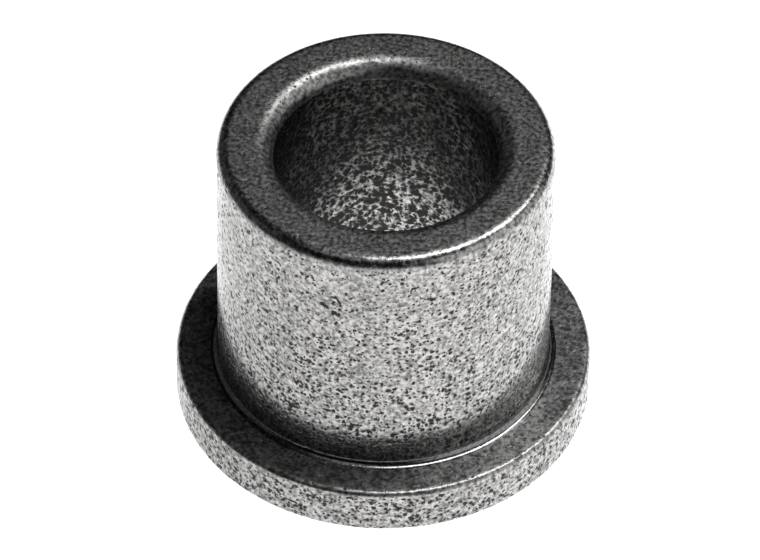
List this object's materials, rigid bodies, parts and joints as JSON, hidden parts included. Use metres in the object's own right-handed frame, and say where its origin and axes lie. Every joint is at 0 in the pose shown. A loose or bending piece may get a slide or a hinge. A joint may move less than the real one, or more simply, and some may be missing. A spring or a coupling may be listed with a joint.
{
  "type": "flanged sleeve bushing",
  "caption": "Flanged sleeve bushing of porous sintered metal, a short thick-walled barrel on a thin round flange, with a plain through bore and rounded edges.",
  "frame": {"origin": "centre of the flange's flat end face, on the bore axis", "axes": "+Z along the bore axis, from the flange towards the nose; the part is round, so X and Y are free"},
  "size_m": [0.0238, 0.0238, 0.0191],
  "materials": {
    "sintered_bronze": "satin, open sintered pores"
  },
  "bodies": {
    "root": {"flanged_bushing": "sintered_bronze"}
  },
  "joints": []
}
